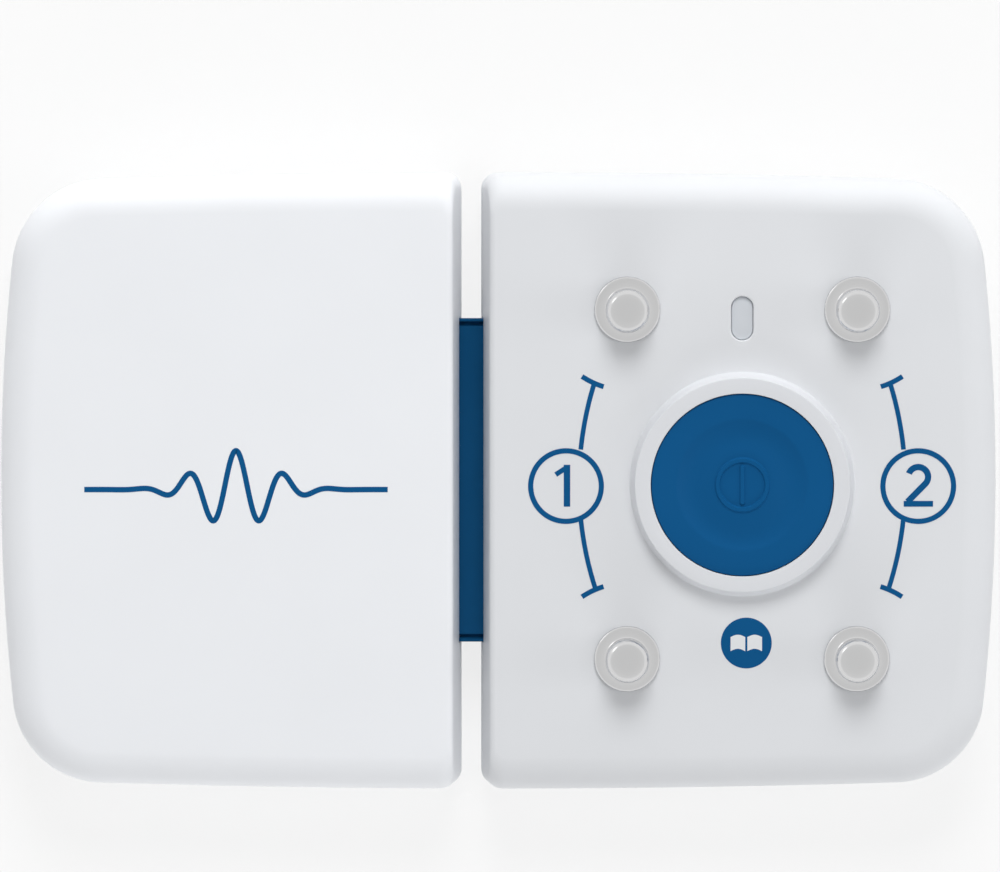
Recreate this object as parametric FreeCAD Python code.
import FreeCAD, Part
import math
import os

from FreeCAD import Vector

# A two-pod wearable nerve stimulator, in millimetres.
# X runs along the length, Y across it, Z up out of the face. The back faces lie at Z = 0
# and the origin is under the middle of the whole unit. The main pod is on the +X side of
# the fold line and the battery pod on its -X side; a soft strip joins them.

# ---- overall sizes -------------------------------------------------------------------
UNIT_LENGTH = 92.0
UNIT_WIDTH = 56.9
POD_THICKNESS = 10.5
FOLD_X = -2.5
PARTING_Z = 4.4

# ---- plan outline and edges ----------------------------------------------------------
END_RADIUS = 195.0
SIDE_RADIUS = 1200.0
CORNER_RADIUS = 8.3
FACE_ROUND = 3.2
BACK_ROUND = 3.0

# ---- inner walls: distance from the fold line at three heights -----------------------
FACE_EDGE_OFFSET = 1.73
RIDGE_OFFSET = 0.81
RIDGE_Z = 2.4
BACK_EDGE_OFFSET = 1.9
RIDGE_ROUND = 1.5
INNER_EDGE_ROUND = 0.55
INNER_PLANE_OFFSET = 1.5

# ---- shell walls, lap joint and seam -------------------------------------------------
SIDE_WALL = 1.6
FACE_WALL = 1.5
BACK_WALL = 1.4
LIP_INSET = 0.85
LIP_CLEARANCE = 0.05
LIP_HEIGHT = 1.2
LIP_ROOT = 0.5
SEAL_HEIGHT = 0.5
SEAM_DEPTH = 0.3
SEAM_HEIGHT = 0.25

# ---- case screws and their bosses ----------------------------------------------------
SCREW_END_IN = 6.0
SCREW_FOLD_OFFSET = 7.1
SCREW_SIDE_IN = 7.0
SCREW_RADIUS = 0.95
SCREW_HEAD_RADIUS = 1.9
SCREW_HEAD_HEIGHT = 1.2
SCREW_LENGTH = 6.0
HEAD_SEAT_Z = 1.5
FRONT_BOSS_RADIUS = 2.3
REAR_BOSS_RADIUS = 2.6
BOSS_MEET_Z = 5.0
HOLE_CLEARANCE = 0.05
DRIVE_REACH = 1.14
DRIVE_WIDTH = 0.5
DRIVE_DEPTH = 0.6

# ---- hinge strip, its clamps and the flat cable inside it ----------------------------
STRIP_BOSS_GAP = 3.85
STRIP_THICKNESS = 1.2
WING_OFFSET = 6.0
STRIP_CLEARANCE = 0.1
SEAT_OFFSET = 6.6
SEAT_ROOT = 0.2
CLAMP_THICKNESS = 0.9
CLAMP_START = 3.6
CLAMP_SHORTER = 1.0
CLAMP_SCREW_IN = 5.5
CLAMP_SCREW_RADIUS = 0.65
CLAMP_HEAD_RADIUS = 1.2
CLAMP_HEAD_HEIGHT = 0.8
CLAMP_SCREW_DEPTH = 1.6
CABLE_WIDTH = 8.0
CABLE_THICKNESS = 0.2
CABLE_END_OFFSET = 10.4
CONNECTOR_OFFSET = 8.0
CONNECTOR_DEPTH = 3.0
CONNECTOR_WIDTH = 10.0
CONNECTOR_HEIGHT = 1.2

# ---- circuit boards ------------------------------------------------------------------
BOARD_THICKNESS = 0.8
BOARD_OFFSET = 7.5
BOARD_END_GAP = 3.0
BOARD_SIDE_GAP = 0.35
POST_RADIUS = 1.5
PEG_RADIUS = 0.7
PEG_RISE = 0.4
POST_IN = 2.0

# ---- button, its bezel and its switch ------------------------------------------------
BEZEL_RIM = 1.35
BEZEL_SLOPE = 0.6
BEZEL_HEIGHT = 1.5
BEZEL_ROUND = 0.15
BEZEL_SLEEVE_WALL = 0.85
BUTTON_RADIUS = 8.35
BUTTON_CLEARANCE = 0.1
BUTTON_SINK = 0.2
BUTTON_TRAVEL = 0.4
DISH_IN = 2.3
DISH_DEPTH = 0.6
SYMBOL_RADIUS = 2.5
SYMBOL_STROKE = 0.43
SYMBOL_BAR = 3.6
SYMBOL_RISE = 0.15
SKIRT_WALL = 1.35
CAP_THICKNESS = 1.9
FLANGE_REACH = 0.85
FLANGE_HEIGHT = 0.9
FLANGE_GAP = 0.1
STEM_RADIUS = 1.5
STEM_GAP = 0.05
RETURN_FLANGE_IN = 0.4
RETURN_BASE_HEIGHT = 0.6
RETURN_BAND = 1.4
RETURN_WEB = 0.5
SWITCH_SIDE = 6.0
SWITCH_HEIGHT = 2.2
SWITCH_FLOOR = 0.6
SWITCH_COVER = 0.2
PLUNGER_RADIUS = 1.7
PLUNGER_TOP = 3.1
COLLAR_RADIUS = 2.1
COLLAR_HEIGHT = 0.5
PLUNGER_CLEARANCE = 0.1
DOME_HEIGHT = 0.9
DOME_METAL = 0.1
DOME_RADIUS = 2.0
DOME_CROWN = 0.6

# ---- snap studs ----------------------------------------------------------------------
STUD_SPACING_X = 21.2
STUD_SIDE_IN = 12.3
STUD_FLANGE_RADIUS = 3.05
STUD_FLANGE_HEIGHT = 0.45
STUD_NECK_RADIUS = 1.7
STUD_HEAD_RADIUS = 2.0
STUD_HEAD_START = 1.4
STUD_HEAD_BAND = 1.3
STUD_HEIGHT = 3.4
STUD_TOP_RADIUS = 1.53
STUD_SHANK_RADIUS = 1.3
STUD_SHANK_BELOW = 0.8
STUD_SEAL_RADIUS = 2.0
STUD_SEAL_HEIGHT = 0.4
RETAINER_RADIUS = 2.6
RETAINER_HEIGHT = 0.6
PIN_BARREL_RADIUS = 1.0
PIN_TIP_RADIUS = 0.6
PIN_TIP_HEIGHT = 1.6

# ---- status light --------------------------------------------------------------------
LIGHT_OUTWARD = 0.85
WINDOW_WIDTH = 2.03
WINDOW_LENGTH = 4.06
WINDOW_CLEARANCE = 0.03
WINDOW_SINK = 0.35
PIPE_FLANGE = 0.6
PIPE_FLANGE_HEIGHT = 0.6
PIPE_STEM_WIDTH = 1.6
PIPE_STEM_LENGTH = 3.0
LIGHT = (1.6, 0.8, 0.6)
LIGHT_GAP = 0.3

# ---- parts on the main board; a triple is length, width and height -------------------
TRANSFORMER_LENGTH = 6.2
TRANSFORMER_GAP = 0.7
CONTROLLER = (7.0, 7.0, 0.9)
RADIO_LENGTH = 9.0
RADIO_HEIGHT = 1.6
RADIO_GAP = 3.1
INDUCTOR_LENGTH = 5.0
INDUCTOR_HEIGHT = 2.0
CAPACITOR_GAP = 0.4
NARROWER = 1.2
SMALL_PART = (1.0, 0.5, 0.5)
SMALL_PART_PITCH = 1.25
SMALL_PARTS_IN_ROW = 6
PART_EDGE_GAP = 1.6
PART_POST_GAP = 2.2

# ---- battery pod contents ------------------------------------------------------------
CELL_BOSS_GAP = 0.85
FOAM_THICKNESS = 1.5
CELL_END_GAP = 1.6
CELL_BOARD_GAP = 1.2
CELL_ROUND = 1.5
PAD_THICKNESS = 0.3
PAD_IN = 2.0
BATTERY_BOARD_DEPTH = 6.3
BATTERY_BOARD_IN = 2.5
TAB_Y = 5.0
TAB_WIDTH = 3.0
TAB_THICKNESS = 0.15
TAB_REACH = 1.5
CONTACT_POST_GAP = 7.0
CONTACT_RADIUS = 2.0
CONTACT_SINK = 0.1
CONTACT_HEAD = 0.6
CONTACT_STEM_RADIUS = 0.8
CONTACT_SEAL_HEIGHT = 0.3
PROTECTION_CHIP = (3.0, 3.0, 0.9)
CHIP_POST_GAP = 3.0

# ---- worked-out places ---------------------------------------------------------------
MAIN = 1
BATTERY = -1
FAR = 2 * UNIT_LENGTH
HALF_LENGTH = UNIT_LENGTH / 2
HALF_WIDTH = UNIT_WIDTH / 2
FACE_Z = POD_THICKNESS
CEILING_Z = FACE_Z - FACE_WALL
STRIP_TOP = PARTING_Z + STRIP_THICKNESS / 2
STRIP_BOTTOM = PARTING_Z - STRIP_THICKNESS / 2
BOARD_TOP = PARTING_Z - CABLE_THICKNESS / 2
BOARD_BOTTOM = BOARD_TOP - BOARD_THICKNESS
BEZEL_TOP = FACE_Z + BEZEL_HEIGHT
BEZEL_BORE = BUTTON_RADIUS + BUTTON_CLEARANCE
BEZEL_RIM_RADIUS = BEZEL_BORE + BEZEL_RIM
BEZEL_BASE_RADIUS = BEZEL_RIM_RADIUS + BEZEL_SLOPE
BEZEL_SLEEVE_RADIUS = BEZEL_BORE + BEZEL_SLEEVE_WALL
DISH_RADIUS = BUTTON_RADIUS - DISH_IN
FLANGE_RADIUS = BUTTON_RADIUS + FLANGE_REACH
RETURN_BASE_RADIUS = FLANGE_RADIUS - RETURN_FLANGE_IN
BUTTON_TOP = BEZEL_TOP - BUTTON_SINK
FLANGE_TOP = CEILING_Z - FLANGE_GAP
FLANGE_BOTTOM = FLANGE_TOP - FLANGE_HEIGHT
MAIN_CENTRE = (HALF_LENGTH + FOLD_X + INNER_PLANE_OFFSET) / 2
BOSS_EDGE_Y = HALF_WIDTH - SCREW_SIDE_IN - REAR_BOSS_RADIUS
BOARD_HALF_WIDTH = BOSS_EDGE_Y - BOARD_SIDE_GAP
BATTERY_BOARD_HALF_WIDTH = BOARD_HALF_WIDTH - BATTERY_BOARD_IN
BATTERY_POST_Y = BATTERY_BOARD_HALF_WIDTH - POST_IN
CONTACT_Y = BATTERY_POST_Y - CONTACT_POST_GAP
PROTECTION_CHIP_Y = BATTERY_POST_Y - CHIP_POST_GAP
STRIP_HALF_LENGTH = BOSS_EDGE_Y - STRIP_BOSS_GAP
CLAMP_SCREW_Y = STRIP_HALF_LENGTH - CLAMP_SCREW_IN
STUD_Y = HALF_WIDTH - STUD_SIDE_IN
LIGHT_Y = (BEZEL_BASE_RADIUS + BOARD_HALF_WIDTH) / 2 + LIGHT_OUTWARD
SEAL_TOP = PARTING_Z + LIP_HEIGHT + SEAL_HEIGHT
STRIP_SLOT = STRIP_HALF_LENGTH + STRIP_CLEARANCE
POST_Y = BOARD_HALF_WIDTH - POST_IN

NODES = {}


# ---- shared shapes -------------------------------------------------------------------
def block(x0, x1, y0, y1, z0, z1):
    """A box between two values on each axis, in either order along X."""
    left = min(x0, x1)
    return Part.makeBox(abs(x1 - x0), y1 - y0, z1 - z0, Vector(left, y0, z0))


def centred_block(x, y, size, z0):
    """A box of the given length, width and height, centred on x, y and standing on z0."""
    length, width, height = size
    return Part.makeBox(length, width, height, Vector(x - length / 2, y - width / 2, z0))


def post(x, y, radius, z0, z1):
    """An upright cylinder from z0 to z1."""
    return Part.makeCylinder(radius, z1 - z0, Vector(x, y, z0))


def ring(x, y, outer, inner, z0, z1):
    """A flat washer shape."""
    return post(x, y, outer, z0, z1).cut(post(x, y, inner, z0, z1))


def stadium(x, y, width, length, z0, z1):
    """An upright bar with fully round ends, its length along Y."""
    radius = width / 2
    straight = (length - width) / 2
    middle = block(x - radius, x + radius, y - straight, y + straight, z0, z1)
    ends = [post(x, y + end * straight, radius, z0, z1) for end in (-1, 1)]
    return middle.fuse(ends).removeSplitter()


def turned(steps, x, y):
    """A solid of revolution about the upright line through x, y.

    Each step is a (radius, height) point joined by a line, or a pair of such points, the
    middle and the end of an arc.
    """
    def place(point):
        return Vector(x + point[0], y, point[1])

    edges = []
    start = steps[0]
    for step in steps[1:] + [steps[0]]:
        if isinstance(step[0], tuple):
            middle, end = step
            edges.append(Part.Arc(place(start), place(middle), place(end)).toShape())
        else:
            end = step
            edges.append(Part.makeLine(place(start), place(end)))
        start = end
    face = Part.Face(Part.Wire(edges))
    return face.revolve(Vector(x, y, 0), Vector(0, 0, 1), 360)


def level_edges(shape, z):
    """The edges of a shape that lie at one height."""
    box_ends = [(edge, edge.BoundBox.ZMin, edge.BoundBox.ZMax) for edge in shape.Edges]
    return [edge for edge, low, high in box_ends if abs(low - z) < 1e-4 and abs(high - z) < 1e-4]


def keep(name, *solids):
    """Store the solids of one node."""
    NODES[name] = solids[0] if len(solids) == 1 else Part.makeCompound(list(solids))


# ---- the unit's outline --------------------------------------------------------------
def corner_centre(end_radius, side_radius, corner_radius, half_length, half_width):
    """Centre of the corner arc that touches the end arc and the side arc from inside."""
    end_centre = Vector(half_length - end_radius, 0, 0)
    side_centre = Vector(0, half_width - side_radius, 0)
    reach_end = end_radius - corner_radius
    reach_side = side_radius - corner_radius
    between = side_centre - end_centre
    distance = between.Length
    along = (reach_end ** 2 - reach_side ** 2 + distance ** 2) / (2 * distance)
    across = math.sqrt(reach_end ** 2 - along ** 2)
    step = between / distance
    return end_centre + step * along + Vector(-step.y, step.x, 0) * across


def outline_face(inset, z):
    """The plan of the whole unit, drawn in by inset: four long arcs and four corners."""
    half_length = HALF_LENGTH - inset
    half_width = HALF_WIDTH - inset
    end_radius = END_RADIUS - inset
    side_radius = SIDE_RADIUS - inset
    corner_radius = CORNER_RADIUS - inset
    centre = corner_centre(end_radius, side_radius, corner_radius, half_length, half_width)
    end_way = (centre - Vector(half_length - end_radius, 0, 0)).normalize()
    side_way = (centre - Vector(0, half_width - side_radius, 0)).normalize()
    on_end = centre + end_way * corner_radius
    on_corner = centre + (end_way + side_way).normalize() * corner_radius
    on_side = centre + side_way * corner_radius

    def at(point, sign_x, sign_y):
        return Vector(sign_x * point.x, sign_y * point.y, z)

    arcs = [
        (at(on_end, 1, -1), Vector(half_length, 0, z), at(on_end, 1, 1)),
        (at(on_end, 1, 1), at(on_corner, 1, 1), at(on_side, 1, 1)),
        (at(on_side, 1, 1), Vector(0, half_width, z), at(on_side, -1, 1)),
        (at(on_side, -1, 1), at(on_corner, -1, 1), at(on_end, -1, 1)),
        (at(on_end, -1, 1), Vector(-half_length, 0, z), at(on_end, -1, -1)),
        (at(on_end, -1, -1), at(on_corner, -1, -1), at(on_side, -1, -1)),
        (at(on_side, -1, -1), Vector(0, -half_width, z), at(on_side, 1, -1)),
        (at(on_side, 1, -1), at(on_corner, 1, -1), at(on_end, 1, -1)),
    ]
    return Part.Face(Part.Wire([Part.Arc(*arc).toShape() for arc in arcs]))


def pillow(inset, z0, z1, back_round, face_round):
    """The outline drawn in by inset and raised from z0 to z1, with both edges rounded."""
    body = outline_face(inset, z0).extrude(Vector(0, 0, z1 - z0))
    body = body.makeFillet(face_round, level_edges(body, z1))
    return body.makeFillet(back_round, level_edges(body, z0))


def fold_x(side, offset):
    """X at a distance from the fold line, on one pod's side."""
    return FOLD_X + side * offset


def beyond(side, offset, z0, z1):
    """Everything on one pod's side past an upright plane beside the fold line."""
    return block(fold_x(side, offset), side * FAR, -FAR, FAR, z0, z1)


def pod_block(side, inset, z0, z1):
    """One pod's plan drawn in by inset and raised from z0 to z1."""
    plan = outline_face(inset, z0).extrude(Vector(0, 0, z1 - z0))
    return plan.common(beyond(side, INNER_PLANE_OFFSET + inset, z0, z1))


# ---- pod shells ----------------------------------------------------------------------
def inner_wall_region(side):
    """All that lies behind one pod's inner wall, which leans back above and below a ridge."""
    above = (FACE_EDGE_OFFSET - RIDGE_OFFSET) / (FACE_Z - RIDGE_Z)
    below = (BACK_EDGE_OFFSET - RIDGE_OFFSET) / RIDGE_Z
    profile = [
        (FACE_EDGE_OFFSET + above, FACE_Z + 1),
        (RIDGE_OFFSET, RIDGE_Z),
        (BACK_EDGE_OFFSET + below, -1),
        (FAR, -1),
        (FAR, FACE_Z + 1),
    ]
    points = [Vector(fold_x(side, offset), -FAR, z) for offset, z in profile]
    region = Part.Face(Part.makePolygon(points + [points[0]])).extrude(Vector(0, 2 * FAR, 0))
    return region.makeFillet(RIDGE_ROUND, level_edges(region, RIDGE_Z))


def on_inner_wall(edge, side):
    """Whether an edge lies along the inner wall, from its distance to the fold line."""
    box = edge.BoundBox
    reach = max(abs(box.XMin - FOLD_X), abs(box.XMax - FOLD_X))
    return reach < BACK_EDGE_OFFSET + SEAM_DEPTH


def pod_solid(side):
    """The outer form of one pod, solid, with its inner wall's edge softened."""
    body = pillow(0, 0, FACE_Z, BACK_ROUND, FACE_ROUND)
    pod = body.common(inner_wall_region(side))
    rim = [edge for edge in pod.Edges if on_inner_wall(edge, side) and not is_level_line(edge)]
    return pod.makeFillet(INNER_EDGE_ROUND, rim)


def is_level_line(edge):
    """Whether an edge is a straight line across the inner wall, between its face and back."""
    box = edge.BoundBox
    level = box.ZMax - box.ZMin < 1e-4
    return level and 1e-3 < box.ZMin < FACE_Z - 1e-3


def cavity(side):
    """The hollow inside one pod."""
    floor_round = BACK_ROUND - BACK_WALL
    ceiling_round = FACE_ROUND - FACE_WALL
    hollow = pillow(SIDE_WALL, BACK_WALL, CEILING_Z, floor_round, ceiling_round)
    return hollow.common(beyond(side, INNER_PLANE_OFFSET + SIDE_WALL, BACK_WALL, CEILING_Z))


def strip_slot(side, z0, z1):
    """The cut through one inner wall that lets the hinge strip in."""
    inner = fold_x(side, INNER_PLANE_OFFSET + SIDE_WALL + STRIP_CLEARANCE)
    return block(FOLD_X, inner, -STRIP_SLOT, STRIP_SLOT, z0, z1)


def screw_places(side):
    """Where one pod's case screws stand."""
    outer = side * (HALF_LENGTH - SCREW_END_IN)
    inner = fold_x(side, SCREW_FOLD_OFFSET)
    y = HALF_WIDTH - SCREW_SIDE_IN
    return [(x, way * y) for x in (outer, inner) for way in (-1, 1)]


def front_shell(side, pod, hollow):
    """The upper half of a pod, rebated inside its rim, with four screw bosses."""
    shell = pod.common(block(-FAR, FAR, -FAR, FAR, PARTING_Z, FACE_Z))
    shell = shell.cut([hollow, pod_block(side, LIP_INSET, PARTING_Z, SEAL_TOP)])
    shell = shell.cut(strip_slot(side, PARTING_Z, STRIP_TOP + STRIP_CLEARANCE))
    places = screw_places(side)
    root = CEILING_Z + FACE_WALL / 2
    bosses = [post(x, y, FRONT_BOSS_RADIUS, BOSS_MEET_Z, root) for x, y in places]
    shell = shell.fuse(bosses)
    depth = HEAD_SEAT_Z + SCREW_LENGTH + HOLE_CLEARANCE
    bore = SCREW_RADIUS + HOLE_CLEARANCE
    return shell.cut([post(x, y, bore, BOSS_MEET_Z, depth) for x, y in places])


def rear_shell(side, pod, hollow):
    """The lower half of a pod: the lap lip, screw bosses, board posts and hinge seat."""
    shell = pod.common(block(-FAR, FAR, -FAR, FAR, 0, PARTING_Z)).cut(hollow)
    lip_z = (PARTING_Z - LIP_ROOT, PARTING_Z + LIP_HEIGHT)
    lip = pod_block(side, LIP_INSET + LIP_CLEARANCE, *lip_z)
    lip = lip.cut(pod_block(side, SIDE_WALL, *lip_z))
    seam_z = (PARTING_Z - SEAM_HEIGHT, PARTING_Z)
    seam = outline_face(0, seam_z[0]).extrude(Vector(0, 0, SEAM_HEIGHT))
    seam = seam.cut(outline_face(SEAM_DEPTH, seam_z[0]).extrude(Vector(0, 0, SEAM_HEIGHT)))
    places = screw_places(side)
    bosses = [post(x, y, REAR_BOSS_RADIUS, BACK_WALL / 2, BOSS_MEET_Z) for x, y in places]
    seat = block(
        fold_x(side, INNER_PLANE_OFFSET + SIDE_WALL / 2), fold_x(side, SEAT_OFFSET),
        -STRIP_HALF_LENGTH, STRIP_HALF_LENGTH, BACK_WALL - SEAT_ROOT, STRIP_BOTTOM,
    )
    shell = shell.cut(seam).fuse([lip] + bosses + board_posts(side) + [seat])
    slot_bottom = STRIP_BOTTOM - STRIP_CLEARANCE
    shell = shell.cut(strip_slot(side, slot_bottom, PARTING_Z + LIP_HEIGHT))
    return shell.cut(screw_holes(places) + clamp_screw_holes(side))


def screw_holes(places):
    """Head recesses and clearance holes for the case screws."""
    shank = SCREW_RADIUS + 2 * HOLE_CLEARANCE
    head = SCREW_HEAD_RADIUS + 4 * HOLE_CLEARANCE
    holes = [post(x, y, shank, 0, BOSS_MEET_Z) for x, y in places]
    return holes + [post(x, y, head, 0, HEAD_SEAT_Z) for x, y in places]


def case_screws(side):
    """Four pan-head screws with a cross drive, put in from the back."""
    screws = []
    head_z = HEAD_SEAT_Z - SCREW_HEAD_HEIGHT
    half = DRIVE_WIDTH / 2
    for x, y in screw_places(side):
        head = post(x, y, SCREW_HEAD_RADIUS, head_z, HEAD_SEAT_Z)
        shank = post(x, y, SCREW_RADIUS, HEAD_SEAT_Z, HEAD_SEAT_Z + SCREW_LENGTH)
        top = head_z + DRIVE_DEPTH
        slots = [
            block(x - DRIVE_REACH, x + DRIVE_REACH, y - half, y + half, head_z, top),
            block(x - half, x + half, y - DRIVE_REACH, y + DRIVE_REACH, head_z, top),
        ]
        screws.append(head.fuse(shank).cut(slots))
    return screws


def shell_seal(side):
    """The gasket between the lap lip's top and the front shell's rebate."""
    z = (PARTING_Z + LIP_HEIGHT, SEAL_TOP)
    inset = LIP_INSET + LIP_CLEARANCE
    return pod_block(side, inset, *z).cut(pod_block(side, SIDE_WALL, *z))


def board_span(side):
    """The X ends of one pod's circuit board, fold side first."""
    start = fold_x(side, BOARD_OFFSET)
    if side == MAIN:
        return start, HALF_LENGTH - BOARD_END_GAP
    return start, start - BATTERY_BOARD_DEPTH


def post_places(side):
    """Where the board posts stand."""
    start, end = board_span(side)
    if side == MAIN:
        return [(x, way * POST_Y) for x in (start + POST_IN, end - POST_IN) for way in (-1, 1)]
    middle = (start + end) / 2
    return [(middle, way * BATTERY_POST_Y) for way in (-1, 1)]


def board_posts(side):
    """Posts that carry the circuit board, each with a peg through it."""
    posts = []
    for x, y in post_places(side):
        posts.append(post(x, y, POST_RADIUS, BACK_WALL / 2, BOARD_BOTTOM))
        posts.append(post(x, y, PEG_RADIUS, BACK_WALL, BOARD_TOP + PEG_RISE))
    return posts


def build_pod(side, name):
    """The two shells, the seal and the case screws of one pod."""
    pod = pod_solid(side)
    hollow = cavity(side)
    front = front_shell(side, pod, hollow)
    rear = rear_shell(side, pod, hollow)
    if side == MAIN:
        front = front.cut(face_openings())
    else:
        rear = rear.cut(contact_holes())
    keep(name + "_front_shell", front)
    keep(name + "_rear_shell", rear)
    keep(name + "_shell_seal", shell_seal(side))
    keep(name + "_case_screws", *case_screws(side))


# ---- openings in the main pod's face -------------------------------------------------
def stud_places():
    """The four snap studs by name: channel 1 is nearer the fold."""
    x = STUD_SPACING_X / 2
    y = STUD_Y
    return {
        "snap_stud_1_upper": (MAIN_CENTRE - x, y),
        "snap_stud_1_lower": (MAIN_CENTRE - x, -y),
        "snap_stud_2_upper": (MAIN_CENTRE + x, y),
        "snap_stud_2_lower": (MAIN_CENTRE + x, -y),
    }


def face_openings():
    """The holes for the bezel, the light window and the studs with their seals."""
    sleeve = BEZEL_SLEEVE_RADIUS + HOLE_CLEARANCE
    cuts = [post(MAIN_CENTRE, 0, sleeve, CEILING_Z, FACE_Z)]
    cuts.append(stadium(MAIN_CENTRE, LIGHT_Y, WINDOW_WIDTH, WINDOW_LENGTH, CEILING_Z, FACE_Z))
    for x, y in stud_places().values():
        seal = STUD_SEAL_RADIUS + HOLE_CLEARANCE
        cuts.append(post(x, y, STUD_SHANK_RADIUS + HOLE_CLEARANCE, CEILING_Z, FACE_Z))
        cuts.append(post(x, y, seal, FACE_Z - STUD_SEAL_HEIGHT, FACE_Z))
    return cuts


# ---- snap studs ----------------------------------------------------------------------
def snap_stud(x, y):
    """A male snap: flange, waisted neck, round-shouldered head and a shank below."""
    head_low = FACE_Z + STUD_HEAD_START
    head_high = head_low + STUD_HEAD_BAND
    top = FACE_Z + STUD_HEIGHT
    flange = FACE_Z + STUD_FLANGE_HEIGHT
    shoulder = STUD_HEAD_RADIUS - STUD_TOP_RADIUS
    shoulder_middle = (
        STUD_TOP_RADIUS + shoulder * math.cos(math.pi / 4),
        head_high + (top - head_high) * math.sin(math.pi / 4),
    )
    neck_middle = (STUD_NECK_RADIUS, (flange + head_low) / 2)
    edge = STUD_FLANGE_HEIGHT / 2
    shank = CEILING_Z - STUD_SHANK_BELOW
    return turned([
        (0, shank),
        (STUD_SHANK_RADIUS, shank),
        (STUD_SHANK_RADIUS, FACE_Z),
        (STUD_FLANGE_RADIUS - edge, FACE_Z),
        ((STUD_FLANGE_RADIUS, FACE_Z + edge), (STUD_FLANGE_RADIUS - edge, flange)),
        (STUD_HEAD_RADIUS, flange),
        (neck_middle, (STUD_HEAD_RADIUS, head_low)),
        (STUD_HEAD_RADIUS, head_high),
        (shoulder_middle, (STUD_TOP_RADIUS, top)),
        (0, top),
    ], x, y)


def contact_pin(x, y):
    """A sprung pin that carries the current from the board to a stud's shank."""
    tip_top = CEILING_Z - STUD_SHANK_BELOW
    barrel_top = tip_top - PIN_TIP_HEIGHT
    barrel = post(x, y, PIN_BARREL_RADIUS, BOARD_TOP, barrel_top)
    return barrel.fuse(post(x, y, PIN_TIP_RADIUS, barrel_top, tip_top))


def build_studs():
    """The four studs with their seals, retaining rings and contact pins."""
    places = stud_places()
    for name, (x, y) in places.items():
        keep(name, snap_stud(x, y))
    bore = STUD_SHANK_RADIUS + HOLE_CLEARANCE / 2
    spots = list(places.values())
    seal_z = (FACE_Z - STUD_SEAL_HEIGHT, FACE_Z)
    keep("stud_seals", *[ring(x, y, STUD_SEAL_RADIUS, bore, *seal_z) for x, y in spots])
    ring_z = (CEILING_Z - RETAINER_HEIGHT, CEILING_Z)
    keep("stud_retaining_rings", *[ring(x, y, RETAINER_RADIUS, bore, *ring_z) for x, y in spots])
    keep("stud_contact_pins", *[contact_pin(x, y) for x, y in spots])


# ---- button, bezel and switch --------------------------------------------------------
def button_bezel():
    """The raised ring round the button, with the sleeve that guides it."""
    round_middle = (
        BEZEL_RIM_RADIUS + BEZEL_ROUND * math.sin(math.pi / 4),
        BEZEL_TOP - BEZEL_ROUND * (1 - math.cos(math.pi / 4)),
    )
    return turned([
        (BEZEL_BORE, CEILING_Z),
        (BEZEL_SLEEVE_RADIUS, CEILING_Z),
        (BEZEL_SLEEVE_RADIUS, FACE_Z),
        (BEZEL_BASE_RADIUS, FACE_Z),
        (BEZEL_RIM_RADIUS + BEZEL_ROUND, BEZEL_TOP - BEZEL_ROUND),
        (round_middle, (BEZEL_RIM_RADIUS, BEZEL_TOP)),
        (BEZEL_BORE, BEZEL_TOP),
    ], MAIN_CENTRE, 0)


def button_cap():
    """The button's dished cap, hollow skirt, flange and stem."""
    cap_under = BUTTON_TOP - CAP_THICKNESS
    skirt_inner = BUTTON_RADIUS - SKIRT_WALL
    stem_z = BOARD_TOP + PLUNGER_TOP + STEM_GAP
    dish_floor = BUTTON_TOP - DISH_DEPTH
    dish_radius = (DISH_RADIUS ** 2 + DISH_DEPTH ** 2) / (2 * DISH_DEPTH)
    half = DISH_RADIUS / 2
    dish_middle = (half, dish_floor + dish_radius - math.sqrt(dish_radius ** 2 - half ** 2))
    return turned([
        (0, stem_z),
        (STEM_RADIUS, stem_z),
        (STEM_RADIUS, cap_under),
        (skirt_inner, cap_under),
        (skirt_inner, FLANGE_BOTTOM),
        (FLANGE_RADIUS, FLANGE_BOTTOM),
        (FLANGE_RADIUS, FLANGE_TOP),
        (BUTTON_RADIUS, FLANGE_TOP),
        (BUTTON_RADIUS, BUTTON_TOP),
        (DISH_RADIUS, BUTTON_TOP),
        (dish_middle, (0, dish_floor)),
    ], MAIN_CENTRE, 0)


def button_symbol():
    """A raised circle with an upright bar in the dish."""
    floor = BUTTON_TOP - DISH_DEPTH - SYMBOL_RISE
    top = BUTTON_TOP - DISH_DEPTH + SYMBOL_RISE + symbol_lift()
    circle = ring(MAIN_CENTRE, 0, SYMBOL_RADIUS, SYMBOL_RADIUS - SYMBOL_STROKE, floor, top)
    bar = centred_block(MAIN_CENTRE, 0, (SYMBOL_STROKE, SYMBOL_BAR, top - floor), floor)
    return [circle, bar]


def symbol_lift():
    """How far the dish has risen at the symbol's outer edge."""
    return DISH_DEPTH * (SYMBOL_RADIUS / DISH_RADIUS) ** 2


def return_ring():
    """The silicone ring that lifts the button: a base, a leaning web and a top band."""
    base_in = RETURN_BASE_RADIUS - RETURN_BAND
    base_top = BOARD_TOP + RETURN_BASE_HEIGHT
    band_low = FLANGE_BOTTOM - RETURN_BASE_HEIGHT
    band_out = RETURN_BASE_RADIUS - RETURN_WEB
    return turned([
        (base_in, BOARD_TOP),
        (RETURN_BASE_RADIUS, BOARD_TOP),
        (RETURN_BASE_RADIUS, base_top),
        (band_out, band_low),
        (band_out, FLANGE_BOTTOM),
        (base_in, FLANGE_BOTTOM),
        (base_in, band_low),
        (base_in + RETURN_WEB, band_low - RETURN_BASE_HEIGHT),
        (base_in + RETURN_WEB, base_top),
        (base_in, base_top),
    ], MAIN_CENTRE, 0)


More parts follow.
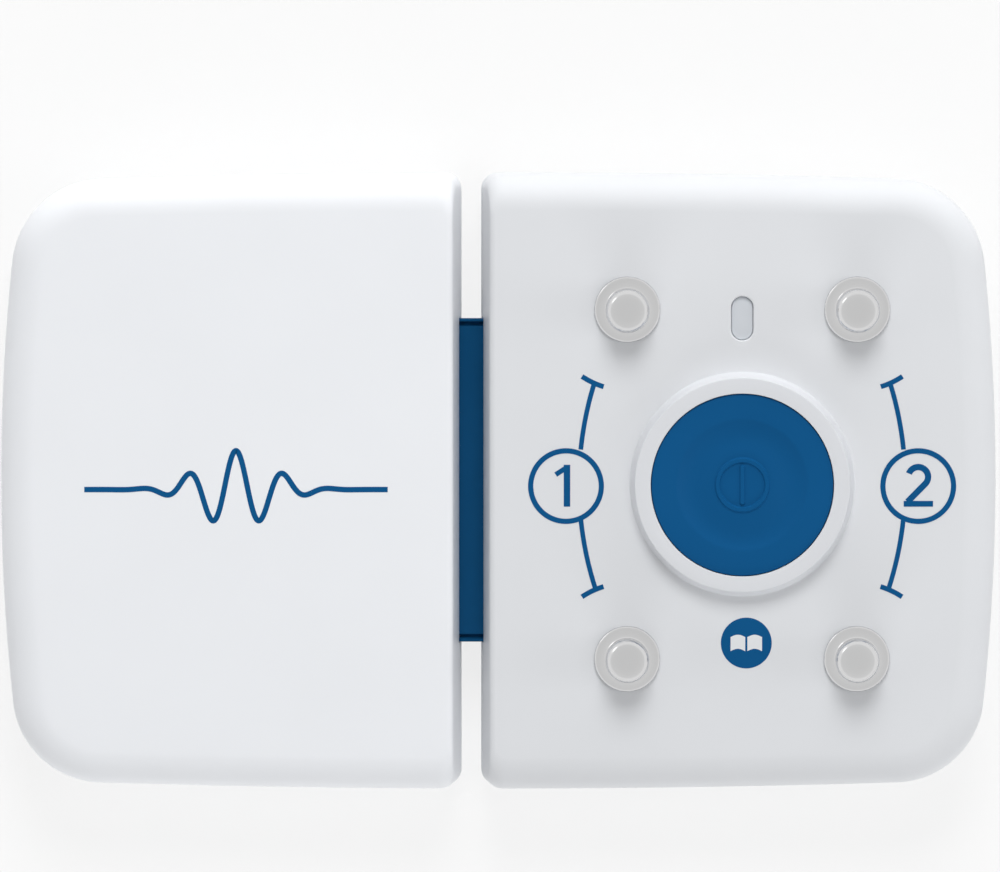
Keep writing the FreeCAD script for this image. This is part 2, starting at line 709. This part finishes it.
def switch_plunger():
    """The switch's plunger, with the collar that its cover holds down."""
    top = BOARD_TOP + PLUNGER_TOP
    low = BOARD_TOP + SWITCH_FLOOR + DOME_HEIGHT
    collar = post(MAIN_CENTRE, 0, COLLAR_RADIUS, low, low + COLLAR_HEIGHT)
    return collar.fuse(post(MAIN_CENTRE, 0, PLUNGER_RADIUS, low, top))


def switch_dome():
    """The snap disc under the plunger: a thin shallow cone with a flat crown."""
    low = BOARD_TOP + SWITCH_FLOOR
    top = low + DOME_HEIGHT
    return turned([
        (DOME_RADIUS - 2 * DOME_METAL, low),
        (DOME_RADIUS, low),
        (DOME_CROWN, top),
        (0, top),
        (0, top - DOME_METAL),
        (DOME_CROWN - 2 * DOME_METAL, top - DOME_METAL),
    ], MAIN_CENTRE, 0)


def build_button():
    """The bezel, the button and everything it presses."""
    keep("button_bezel", button_bezel())
    keep("control_button", button_cap().fuse(button_symbol()).removeSplitter())
    keep("button_return_ring", return_ring())
    bore = COLLAR_RADIUS + PLUNGER_CLEARANCE
    body = centred_block(MAIN_CENTRE, 0, (SWITCH_SIDE, SWITCH_SIDE, SWITCH_HEIGHT), BOARD_TOP)
    body_top = BOARD_TOP + SWITCH_HEIGHT
    body = body.cut(post(MAIN_CENTRE, 0, bore, BOARD_TOP + SWITCH_FLOOR, body_top))
    keep("tact_switch_body", body)
    cover = centred_block(MAIN_CENTRE, 0, (SWITCH_SIDE, SWITCH_SIDE, SWITCH_COVER), body_top)
    hole = post(MAIN_CENTRE, 0, PLUNGER_RADIUS + PLUNGER_CLEARANCE, body_top, FACE_Z)
    keep("switch_cover", cover.cut(hole))
    keep("switch_plunger", switch_plunger())
    keep("switch_dome", switch_dome())


# ---- status light --------------------------------------------------------------------
def build_light():
    """The light on the board and the clear pipe that shows it in the face."""
    light_top = BOARD_TOP + LIGHT[2]
    keep("status_led", centred_block(MAIN_CENTRE, LIGHT_Y, LIGHT, BOARD_TOP))
    window = (WINDOW_WIDTH - 2 * WINDOW_CLEARANCE, WINDOW_LENGTH - 2 * WINDOW_CLEARANCE)
    flange = (WINDOW_WIDTH + 2 * PIPE_FLANGE, WINDOW_LENGTH + 2 * PIPE_FLANGE)
    flange_low = CEILING_Z - PIPE_FLANGE_HEIGHT
    pipe = stadium(MAIN_CENTRE, LIGHT_Y, *window, flange_low, FACE_Z - WINDOW_SINK)
    stem = stadium(
        MAIN_CENTRE, LIGHT_Y, PIPE_STEM_WIDTH, PIPE_STEM_LENGTH, light_top + LIGHT_GAP, flange_low,
    )
    plate = stadium(MAIN_CENTRE, LIGHT_Y, *flange, flange_low, CEILING_Z)
    keep("led_light_pipe", pipe.fuse([plate, stem]).removeSplitter())


# ---- main circuit board --------------------------------------------------------------
def board(side, half_width):
    """One circuit board, drilled for its pegs."""
    start, end = board_span(side)
    plate = block(start, end, -half_width, half_width, BOARD_BOTTOM, BOARD_TOP)
    hole = PEG_RADIUS + 2 * HOLE_CLEARANCE
    return plate.cut([post(x, y, hole, BOARD_BOTTOM, BOARD_TOP) for x, y in post_places(side)])


def small_parts(x, y):
    """Two rows of small parts above and below the controller chip."""
    first = x - SMALL_PART_PITCH * (SMALL_PARTS_IN_ROW - 1) / 2
    spots = [first + SMALL_PART_PITCH * count for count in range(SMALL_PARTS_IN_ROW)]
    rows = (-y, y)
    return [centred_block(spot, row, SMALL_PART, BOARD_TOP) for row in rows for spot in spots]


def build_main_board():
    """The main board and what is soldered to it."""
    start, end = board_span(MAIN)
    near = start + PART_EDGE_GAP + TRANSFORMER_LENGTH / 2
    far = end - PART_EDGE_GAP - POST_IN / 2 - TRANSFORMER_LENGTH / 2
    low = CONNECTOR_WIDTH / 2 + PART_EDGE_GAP
    high = POST_Y - POST_RADIUS - PART_POST_GAP
    row = (low + high) / 2
    width = high - low
    transformer = (TRANSFORMER_LENGTH, width, CEILING_Z - TRANSFORMER_GAP - BOARD_TOP)
    inductor = (INDUCTOR_LENGTH, width - NARROWER, INDUCTOR_HEIGHT)
    keep("main_circuit_board", board(MAIN, BOARD_HALF_WIDTH))
    keep("channel_1_transformer", centred_block(near, -row, transformer, BOARD_TOP))
    keep("channel_2_transformer", centred_block(far, -row, transformer, BOARD_TOP))
    keep("boost_inductor", centred_block(near, row, inductor, BOARD_TOP))
    top = CEILING_Z - CAPACITOR_GAP
    keep("storage_capacitor", post(far, row, (width - NARROWER) / 2, BOARD_TOP, top))
    keep("controller_chip", centred_block(far, 0, CONTROLLER, BOARD_TOP))
    small_y = CONTROLLER[1] / 2 + PART_EDGE_GAP
    keep("small_board_parts", *small_parts(far, small_y))
    radio_low = -BOARD_HALF_WIDTH + PART_EDGE_GAP
    radio_high = -RETURN_BASE_RADIUS - RADIO_GAP
    radio = (RADIO_LENGTH, radio_high - radio_low, RADIO_HEIGHT)
    radio_y = (radio_low + radio_high) / 2
    keep("radio_module", centred_block(MAIN_CENTRE, radio_y, radio, BOARD_TOP))


# ---- battery pod contents ------------------------------------------------------------
def contact_places():
    """Where the two charging contacts stand, under the battery board."""
    x = sum(board_span(BATTERY)) / 2
    return [(x, way * CONTACT_Y) for way in (-1, 1)]


def contact_holes():
    """Stepped holes for the charging contacts in the battery pod's back."""
    step = CONTACT_SINK + CONTACT_HEAD + CONTACT_SEAL_HEIGHT
    head = CONTACT_RADIUS + HOLE_CLEARANCE
    stem = CONTACT_STEM_RADIUS + HOLE_CLEARANCE
    holes = [post(x, y, head, 0, step) for x, y in contact_places()]
    return holes + [post(x, y, stem, 0, BACK_WALL) for x, y in contact_places()]


def charging_contact(x, y):
    """A flat contact with a stem up to the board."""
    head_top = CONTACT_SINK + CONTACT_HEAD
    head = post(x, y, CONTACT_RADIUS, CONTACT_SINK, head_top)
    return head.fuse(post(x, y, CONTACT_STEM_RADIUS, head_top, BOARD_BOTTOM))


def build_battery():
    """The cell with its pads and tabs, its board and the charging contacts."""
    start, end = board_span(BATTERY)
    outer = -HALF_LENGTH + SIDE_WALL + CELL_END_GAP
    inner = end - CELL_BOARD_GAP
    half = BOSS_EDGE_Y - CELL_BOSS_GAP
    low = BACK_WALL + PAD_THICKNESS
    high = CEILING_Z - FOAM_THICKNESS
    cell = block(outer, inner, -half, half, low, high)
    lengthwise = [edge for edge in cell.Edges if edge.BoundBox.YLength > half]
    keep("battery_cell", cell.makeFillet(CELL_ROUND, lengthwise))
    pad = (outer + PAD_IN, inner - PAD_IN, -half + PAD_IN, half - PAD_IN)
    keep("cell_adhesive_pad", block(*pad, BACK_WALL, low))
    keep("cell_foam_pad", block(*pad, high, CEILING_Z))
    tabs = []
    for way in (-1, 1):
        y = way * TAB_Y
        tab_y = (y - TAB_WIDTH / 2, y + TAB_WIDTH / 2)
        tabs.append(block(inner, end + TAB_REACH, *tab_y, BOARD_TOP, BOARD_TOP + TAB_THICKNESS))
    keep("cell_tabs", *tabs)
    keep("battery_board", board(BATTERY, BATTERY_BOARD_HALF_WIDTH))
    chip_x = (start + end) / 2
    keep("protection_chip", centred_block(chip_x, -PROTECTION_CHIP_Y, PROTECTION_CHIP, BOARD_TOP))
    keep("charging_contacts", *[charging_contact(x, y) for x, y in contact_places()])
    seal_low = CONTACT_SINK + CONTACT_HEAD
    bore = CONTACT_STEM_RADIUS + HOLE_CLEARANCE / 2
    seals = [
        ring(x, y, CONTACT_RADIUS, bore, seal_low, seal_low + CONTACT_SEAL_HEIGHT)
        for x, y in contact_places()
    ]
    keep("charging_contact_seals", *seals)


# ---- hinge strip ---------------------------------------------------------------------
def clamp_screw_places(side):
    """Where the clamp screws pass through one wing of the strip."""
    x = fold_x(side, (CLAMP_START + WING_OFFSET) / 2)
    return [(x, way * CLAMP_SCREW_Y) for way in (-1, 1)]


def clamp_screw_holes(side):
    """Blind holes for the clamp screws in the hinge seat."""
    radius = CLAMP_SCREW_RADIUS + HOLE_CLEARANCE
    low = STRIP_BOTTOM - CLAMP_SCREW_DEPTH - HOLE_CLEARANCE
    return [post(x, y, radius, low, STRIP_BOTTOM) for x, y in clamp_screw_places(side)]


def clamp_screws(side):
    """Two small screws that pull the clamp plate onto the strip's wing."""
    seat = STRIP_TOP + CLAMP_THICKNESS
    low = STRIP_BOTTOM - CLAMP_SCREW_DEPTH
    screws = []
    for x, y in clamp_screw_places(side):
        head = post(x, y, CLAMP_HEAD_RADIUS, seat, seat + CLAMP_HEAD_HEIGHT)
        screws.append(head.fuse(post(x, y, CLAMP_SCREW_RADIUS, low, seat)))
    return screws


def through_holes(side):
    """Holes for the clamp screws through the wing and the clamp plate."""
    radius = CLAMP_SCREW_RADIUS + 2 * HOLE_CLEARANCE
    high = STRIP_TOP + CLAMP_THICKNESS
    return [post(x, y, radius, STRIP_BOTTOM, high) for x, y in clamp_screw_places(side)]


def flex_connector(side):
    """The socket on one board that the flat cable's end goes into."""
    near = fold_x(side, CONNECTOR_OFFSET)
    far = fold_x(side, CONNECTOR_OFFSET + CONNECTOR_DEPTH)
    half = CONNECTOR_WIDTH / 2
    shell = block(near, far, -half, half, BOARD_TOP, BOARD_TOP + CONNECTOR_HEIGHT)
    slot = CABLE_WIDTH / 2 + HOLE_CLEARANCE
    end = fold_x(side, CABLE_END_OFFSET + HOLE_CLEARANCE)
    cable_top = BOARD_TOP + CABLE_THICKNESS + HOLE_CLEARANCE
    return shell.cut(block(near, end, -slot, slot, BOARD_TOP, cable_top))


def build_hinge():
    """The soft strip, the flat cable moulded into it, and the clamps that hold it."""
    half = STRIP_HALF_LENGTH
    ends = (fold_x(BATTERY, WING_OFFSET), fold_x(MAIN, WING_OFFSET))
    strip = block(*ends, -half, half, STRIP_BOTTOM, STRIP_TOP)
    cable_ends = (fold_x(BATTERY, CABLE_END_OFFSET), fold_x(MAIN, CABLE_END_OFFSET))
    cable_half = CABLE_WIDTH / 2
    cable_top = BOARD_TOP + CABLE_THICKNESS
    cable = block(*cable_ends, -cable_half, cable_half, BOARD_TOP, cable_top)
    keep("flex_hinge", strip.cut([cable] + through_holes(MAIN) + through_holes(BATTERY)))
    keep("hinge_flex_cable", cable)
    for side, pod in ((MAIN, "main"), (BATTERY, "battery")):
        near = fold_x(side, CLAMP_START)
        far = fold_x(side, WING_OFFSET)
        plate_half = half - CLAMP_SHORTER
        plate_top = STRIP_TOP + CLAMP_THICKNESS
        plate = block(near, far, -plate_half, plate_half, STRIP_TOP, plate_top)
        keep("hinge_clamp_" + pod, plate.cut(through_holes(side)))
        keep("hinge_clamp_screws_" + pod, *clamp_screws(side))
        keep("flex_connector_" + pod, flex_connector(side))


def main():
    """Build every node and write one file for each."""
    build_pod(MAIN, "main")
    build_pod(BATTERY, "battery")
    build_studs()
    build_button()
    build_light()
    build_main_board()
    build_battery()
    build_hinge()
    os.makedirs("parts", exist_ok=True)
    for name, shape in NODES.items():
        shape.exportStep("parts/" + name + ".step")
        print(name, len(shape.Solids), "solid", shape.isValid(), round(shape.Volume, 3))


main()
